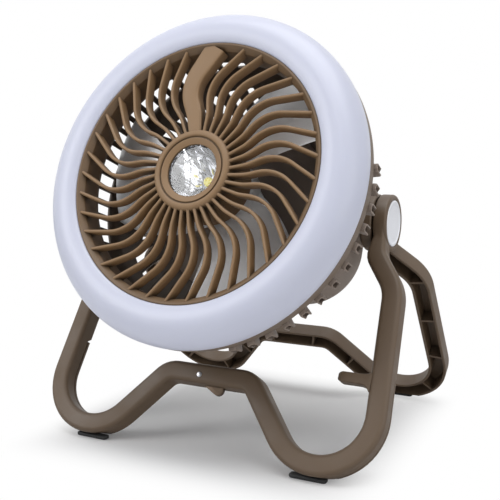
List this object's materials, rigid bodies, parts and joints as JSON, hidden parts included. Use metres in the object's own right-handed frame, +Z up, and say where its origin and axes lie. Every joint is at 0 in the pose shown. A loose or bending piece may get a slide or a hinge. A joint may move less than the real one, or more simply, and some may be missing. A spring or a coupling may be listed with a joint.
{
  "type": "portable camping fan",
  "caption": "Portable camping fan: tilting round head with light ring, S-ribbed grille and spotlight, on two folding looped stand frames.",
  "frame": {"origin": "on the ground, in the middle of the outline seen from above", "axes": "+Z up, the fan blows towards -Y, +X to the right seen from the front; the pivot line runs along X"},
  "size_m": [0.2248, 0.2121, 0.2576],
  "materials": {
    "brown_plastic": "fine matt, warm grey-brown",
    "light_diffuser": "satin translucent, cool white",
    "blade_grey": "satin mid grey",
    "silver_cap": "satin silver",
    "mirror_bowl": "polished",
    "clear_lens": "clear",
    "led_yellow": "phosphor yellow",
    "board_white": "solder mask white",
    "board_green": "solder mask green",
    "steel": "bright zinc",
    "nylon": "natural nylon",
    "rubber_pad": "matt black",
    "cell_wrap": "shrink sleeve blue",
    "cradle_black": "matt black",
    "button_grey": "satin grey",
    "light_pipe": "clear polycarbonate"
  },
  "bodies": {
    "front_stand": {"front_frame": "brown_plastic", "front_foot_covers": "brown_plastic", "front_pads": "rubber_pad", "pivot_caps": "silver_cap", "pivot_bolts": "steel", "pivot_washers": "nylon", "hook_pin": "steel"},
    "rear_stand": {"rear_frame": "brown_plastic", "rear_pads": "rubber_pad"},
    "head": {"light_ring": "light_diffuser", "ring_board": "board_white", "ring_leds": "led_yellow", "head_rim": "brown_plastic", "front_grille": "brown_plastic", "spot_lens": "clear_lens", "spot_reflector": "mirror_bowl", "spot_plate": "silver_cap", "spot_led": "led_yellow", "rear_basket": "brown_plastic", "motor": "steel", "motor_screws": "steel", "rear_housing": "brown_plastic", "rear_cover": "brown_plastic", "cover_screws": "steel", "control_board": "board_green", "charge_socket": "steel", "indicator_lights": "light_pipe", "battery_cells": "cell_wrap", "battery_cradle": "cradle_black"},
    "rotor": {"impeller": "blade_grey", "motor_shaft": "steel"},
    "hook": {"hang_hook": "steel"},
    "fan_key": {"fan_button": "button_grey"},
    "light_key": {"light_button": "button_grey"}
  },
  "joints": [
    {"name": "rear_fold", "type": "hinge", "parent": "front_stand", "child": "rear_stand", "pos_m": [0, 0.01439, 0.13406], "axis": [1, 0, 0], "range_deg": [-61.5, 0]},
    {"name": "head_tilt", "type": "hinge", "parent": "front_stand", "child": "head", "pos_m": [0, 0.01439, 0.13406], "axis": [1, 0, 0], "range_deg": [-140, 10]},
    {"name": "rotor_spin", "type": "hinge", "parent": "head", "child": "rotor", "pos_m": [0, 0.01439, 0.13406], "axis": [0, -0.9291, 0.3697], "continuous": true},
    {"name": "hook_swing", "type": "hinge", "parent": "front_stand", "child": "hook", "pos_m": [-0.005, -0.04782, 0.04058], "axis": [0, -0.8526, 0.5225], "range_deg": [-62, 0]},
    {"name": "fan_press", "type": "slide", "parent": "head", "child": "fan_key", "axis": [0, -0.9291, 0.3697], "range_m": [0, 0.001], "stiffness_N_per_m": 400},
    {"name": "light_press", "type": "slide", "parent": "head", "child": "light_key", "axis": [0, -0.9291, 0.3697], "range_m": [0, 0.001], "stiffness_N_per_m": 400}
  ]
}
